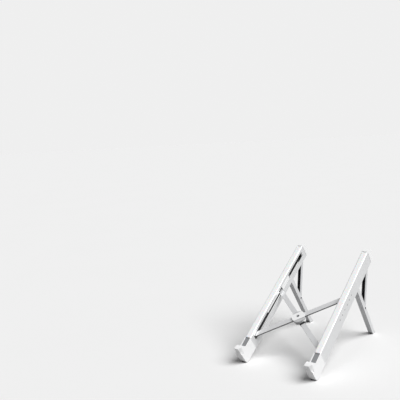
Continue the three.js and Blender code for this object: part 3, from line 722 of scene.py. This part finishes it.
for side in ("left", "right"):
    outward = -1 if side == "left" else 1
    first, step, count, radius = hole_row(side)
    first.x -= outward * HOLE_SHADE_DEPTH
    # Near-black discs just inside the height holes: painted shade that darkens the holes.
    repeated(f"{side}_height_hole_shade_discs", "discs", "dark_plastic", body_of_node[f"{side}_rail"],
             0, to_stand, Count=count, Centre=first, Step=(0, step, 0),
             Size=(2 * radius, 2 * radius, HOLE_SHADE_THICKNESS), Turn=(0, math.pi / 2, 0))
    tread(f"{side}_nose_pad_tread", f"{side}_front_foot")
    tread(f"{side}_sole_tread", f"{side}_leg_foot")
    refinish(made[f"{side}_leg_pin"], "blackened_steel", lambda middle, normal: True)

# ---- Studio --------------------------------------------------------------------------------

FLOOR_RADIUS = 60.0
FLOOR_BELOW = 0.2 * MM
FLOOR_TONE = 0.82              # the floor as it is seen
FLOOR_BOUNCE = 0.52            # how much light the floor gives back to the stand
FAR_TONE = 0.865               # the far distance, as pale as the lit floor
AMBIENT = 0.13
GLOSS_AMBIENT = 0.5           # what polished faces mirror from the walls of the studio


def studio_floor():
    shape = bmesh.new()
    bmesh.ops.create_circle(shape, cap_ends=True, segments=96, radius=FLOOR_RADIUS,
                            matrix=Matrix.Translation((0, 0, -FLOOR_BELOW)))
    floor = from_shape("studio_floor", shape)
    material = bpy.data.materials.new("pale_floor")
    material.use_nodes = True
    graph = Graph(material.node_tree)
    shader = material.node_tree.nodes["Principled BSDF"]
    shader.inputs["Roughness"].default_value = 0.9
    shader.inputs["Specular IOR Level"].default_value = 0.0
    where = graph.node("ShaderNodeTexCoord").outputs["Object"]
    seen = graph.between(graph.noise(where, 3.0, 4.0, 0.6), 0.2, 0.8,
                         FLOOR_TONE - 0.005, FLOOR_TONE + 0.005)
    path = graph.node("ShaderNodeLightPath")
    tone = graph.between(path.outputs["Is Camera Ray"], 0.0, 1.0, FLOOR_BOUNCE, seen)
    colour = graph.node("ShaderNodeCombineColor")
    for socket in colour.inputs:
        graph.put(tone, socket)
    graph.put(colour.outputs[0], shader.inputs["Base Color"])
    floor.data.materials.append(material)


def studio_light(name, direction, softness, strength):
    """A distant soft light; softness is how wide it looks from the stand, in degrees."""
    light = bpy.data.lights.new(name, "SUN")
    light.angle = math.radians(softness)
    light.energy = strength
    made = bpy.data.objects.new(name, light)
    bpy.context.scene.collection.objects.link(made)
    made.rotation_euler = Vector(direction).to_track_quat("Z", "Y").to_euler()


def studio_world():
    """Weak, even light from all round; the far distance is as pale as the floor."""
    world = bpy.data.worlds.new("studio_world")
    bpy.context.scene.world = world
    world.use_nodes = True
    graph = Graph(world.node_tree)
    sky = world.node_tree.nodes["Background"]
    path = graph.node("ShaderNodeLightPath")
    matt = graph.between(path.outputs["Is Glossy Ray"], 0.0, 1.0, AMBIENT, GLOSS_AMBIENT)
    graph.put((1, 1, 1, 1), sky.inputs["Color"])
    graph.put(graph.between(path.outputs["Is Camera Ray"], 0.0, 1.0, matt, FAR_TONE),
              sky.inputs["Strength"])


studio_floor()
studio_world()
studio_light("overhead_softbox", (0.75, 0.0, 1.0), 50, 3.65)

# ---- Camera --------------------------------------------------------------------------------

CAMERA_PLACE = Vector((0.4967, -0.8854, 0.4218))
CAMERA_AZIMUTH = math.radians(37.413)
CAMERA_DOWN = math.radians(10.031)
CAMERA_ROLL = math.radians(-2.94)
CAMERA_LENS = 47.68
CAMERA_SHIFT = 0.08


def studio_camera():
    camera = bpy.data.cameras.new("studio_camera")
    camera.lens = CAMERA_LENS
    camera.sensor_width = 36
    camera.shift_x, camera.shift_y = -CAMERA_SHIFT, CAMERA_SHIFT
    camera.clip_start, camera.clip_end = 0.01, 50
    made = bpy.data.objects.new("studio_camera", camera)
    bpy.context.scene.collection.objects.link(made)
    back = Vector((math.sin(CAMERA_AZIMUTH) * math.cos(CAMERA_DOWN),
                   -math.cos(CAMERA_AZIMUTH) * math.cos(CAMERA_DOWN), math.sin(CAMERA_DOWN)))
    level = Vector((math.cos(CAMERA_AZIMUTH), math.sin(CAMERA_AZIMUTH), 0))
    above = back.cross(level)
    right = math.cos(CAMERA_ROLL) * level + math.sin(CAMERA_ROLL) * above
    up = math.cos(CAMERA_ROLL) * above - math.sin(CAMERA_ROLL) * level
    turn = Matrix((right, up, back)).transposed().to_4x4()
    made.matrix_world = Matrix.Translation(CAMERA_PLACE) @ turn
    bpy.context.scene.camera = made


studio_camera()
bpy.context.scene.view_settings.view_transform = "Standard"
